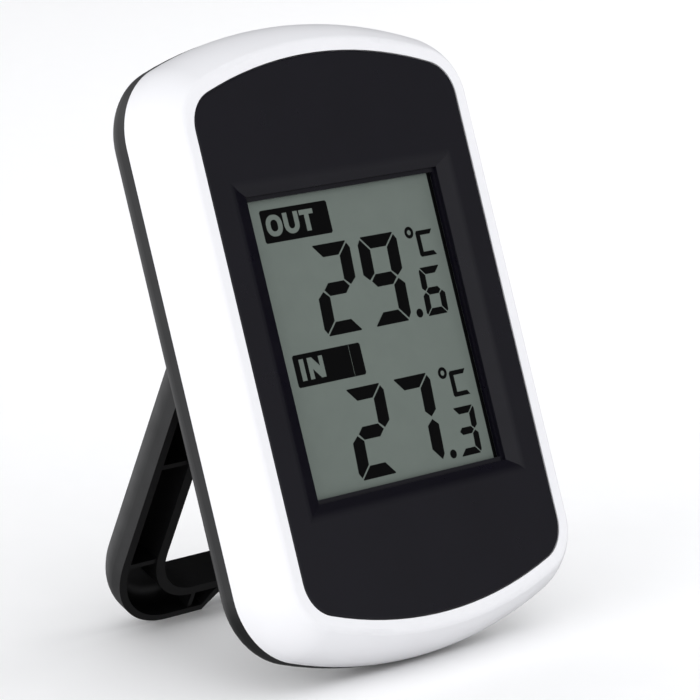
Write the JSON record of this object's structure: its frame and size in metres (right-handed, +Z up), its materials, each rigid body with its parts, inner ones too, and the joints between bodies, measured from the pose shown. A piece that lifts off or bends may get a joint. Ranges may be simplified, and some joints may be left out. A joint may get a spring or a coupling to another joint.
{
  "type": "maximum minimum thermometer",
  "caption": "Digital maximum-minimum thermometer: tall display in a black fascia and pale surround, leaning back on a fold-out leg.",
  "frame": {"origin": "bottom centre of the bounding box, on the surface that the unit stands on, with its leg open", "axes": "+Z up, +X to the right as the display is read, -Y towards the reader"},
  "size_m": [0.0636, 0.0514, 0.0896],
  "materials": {
    "white_plastic": "glossy white moulding",
    "panel_plastic": "fine satin charcoal",
    "black_plastic": "satin black moulding",
    "display_glass": "clear display glass",
    "display_film": "grey-green polarising film",
    "reflector_film": "satin metallised film",
    "connector_rubber": "striped silicone",
    "holder_plastic": "natural moulding",
    "board_green": "solder mask",
    "zinc_steel": "zinc plated",
    "epoxy_black": "cast epoxy",
    "capacitor_sleeve": "shrunk sleeve",
    "nickel_can": "drawn can",
    "chip_ceramic": "ceramic",
    "header_plastic": "moulded strip",
    "antenna_pvc": "insulated wire",
    "switch_plastic": "moulded switch",
    "cell_sleeve": "printed sleeve",
    "nickel_contact": "nickel plated",
    "red_pvc": "insulated wire",
    "black_pvc": "insulated wire"
  },
  "bodies": {
    "case": {"front_frame": "white_plastic", "front_panel": "panel_plastic", "front_polariser": "display_film", "front_glass": "display_glass", "rear_glass": "display_glass", "display_reflector": "reflector_film", "zebra_connector": "connector_rubber", "display_holder": "holder_plastic", "main_board": "board_green", "board_screws": "zinc_steel", "chip_blob": "epoxy_black", "capacitor": "capacitor_sleeve", "quartz_crystal": "nickel_can", "chip_resistors": "chip_ceramic", "receiver_header": "header_plastic", "receiver_board": "board_green", "antenna_wire": "antenna_pvc", "thermistor": "epoxy_black", "switch_bases": "switch_plastic", "rear_case": "black_plastic", "upper_case_screws": "zinc_steel", "lower_case_screws": "zinc_steel", "left_cell": "cell_sleeve", "right_cell": "cell_sleeve", "positive_contact": "nickel_contact", "negative_contact": "nickel_contact", "link_contact": "nickel_contact", "red_wire": "red_pvc", "black_wire": "black_pvc"},
    "leg": {"folding_leg": "black_plastic"},
    "door": {"battery_door": "black_plastic"},
    "max_min_key": {"max_min_button": "black_plastic", "max_min_plunger": "switch_plastic"},
    "reset_key": {"reset_button": "black_plastic", "reset_plunger": "switch_plastic"},
    "unit_key": {"unit_button": "black_plastic", "unit_plunger": "switch_plastic"}
  },
  "joints": [
    {"name": "leg_fold", "type": "hinge", "parent": "case", "child": "leg", "pos_m": [0, 0.00527, 0.04435], "axis": [-1, 0, 0], "range_deg": [0, 43.6]},
    {"name": "door_slide", "type": "slide", "parent": "case", "child": "door", "axis": [0, -0.3453, -0.9385], "range_m": [0, 0.0103]},
    {"name": "max_min_press", "type": "slide", "parent": "case", "child": "max_min_key", "axis": [0, -0.9385, 0.3453], "range_m": [0, 0.00035], "stiffness_N_per_m": 2500, "springref_m": -0.0003},
    {"name": "reset_press", "type": "slide", "parent": "case", "child": "reset_key", "axis": [0, -0.9385, 0.3453], "range_m": [0, 0.00035], "stiffness_N_per_m": 2500, "springref_m": -0.0003},
    {"name": "unit_press", "type": "slide", "parent": "case", "child": "unit_key", "axis": [0, -0.9385, 0.3453], "range_m": [0, 0.00035], "stiffness_N_per_m": 2500, "springref_m": -0.0003}
  ]
}
